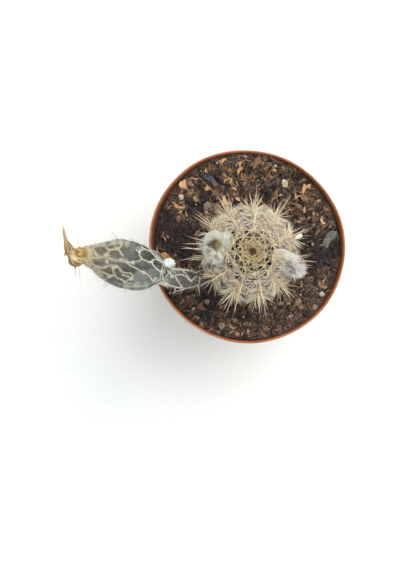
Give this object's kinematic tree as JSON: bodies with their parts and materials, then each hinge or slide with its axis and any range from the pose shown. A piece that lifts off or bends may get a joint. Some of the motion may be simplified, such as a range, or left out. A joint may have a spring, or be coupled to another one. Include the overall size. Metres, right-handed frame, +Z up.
{
  "type": "potted echinopsis mirabilis cactus",
  "caption": "Small ribbed, spiny cactus in a round plastic nursery pot, with woolly flower buds and a long netted seed pod that ends in its dried flower.",
  "frame": {"origin": "centre of the pot's underside, on the surface that the pot stands on", "axes": "+Z up along the pot's axis. The seed pod reaches out over the rim towards -X."},
  "size_m": [0.075, 0.0546, 0.0764],
  "materials": {
    "pot_plastic": "satin terracotta-coloured polypropylene",
    "potting_mix": "matt, damp bark and peat",
    "spiny_skin": "matt grey-brown skin with straw-coloured spines",
    "pod_skin": "papery grey skin with a raised cream net",
    "dried_petal": "dry, papery, golden brown",
    "wool": "fluffy, matt, off-white",
    "perlite": "matt, crumbly, white"
  },
  "bodies": {
    "root": {"pot": "pot_plastic", "soil": "potting_mix", "cactus": "spiny_skin", "seed_pod": "pod_skin", "flower_remains": "dried_petal", "woolly_bud_left": "wool", "woolly_bud_right": "wool", "perlite_crumb": "perlite"}
  },
  "joints": []
}
